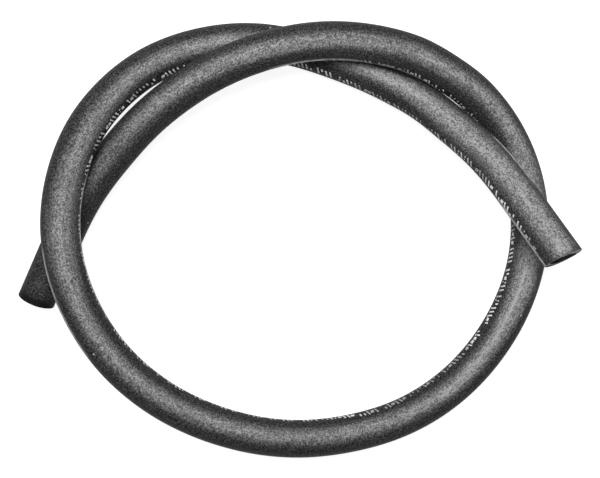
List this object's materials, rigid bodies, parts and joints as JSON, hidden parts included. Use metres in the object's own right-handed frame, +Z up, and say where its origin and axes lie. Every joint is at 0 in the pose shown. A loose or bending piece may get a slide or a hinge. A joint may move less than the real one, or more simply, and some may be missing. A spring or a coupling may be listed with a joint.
{
  "type": "rubber water hose",
  "caption": "Length of reinforced black rubber water hose with bare square-cut ends, lying on a floor in an open overhand loop.",
  "frame": {"origin": "on the floor, under the middle of the loop's bounding box", "axes": "+Z up, +X along the long way of the loop towards the raised end, +Y towards the side where the strands cross; the hose lies on the XY plane"},
  "size_m": [0.3383, 0.2705, 0.0676],
  "materials": {
    "cover_rubber": "matte, finely pebbled, as wrapped and cured rubber is",
    "tube_rubber": "smooth, dull black",
    "yarn": "spiralled textile cord, seen only as pale ends at the cuts"
  },
  "bodies": {
    "root": {"inner_tube": "tube_rubber", "inner_yarn_ply": "yarn", "tie_gum": "tube_rubber", "outer_yarn_ply": "yarn", "cover": "cover_rubber"}
  },
  "joints": []
}
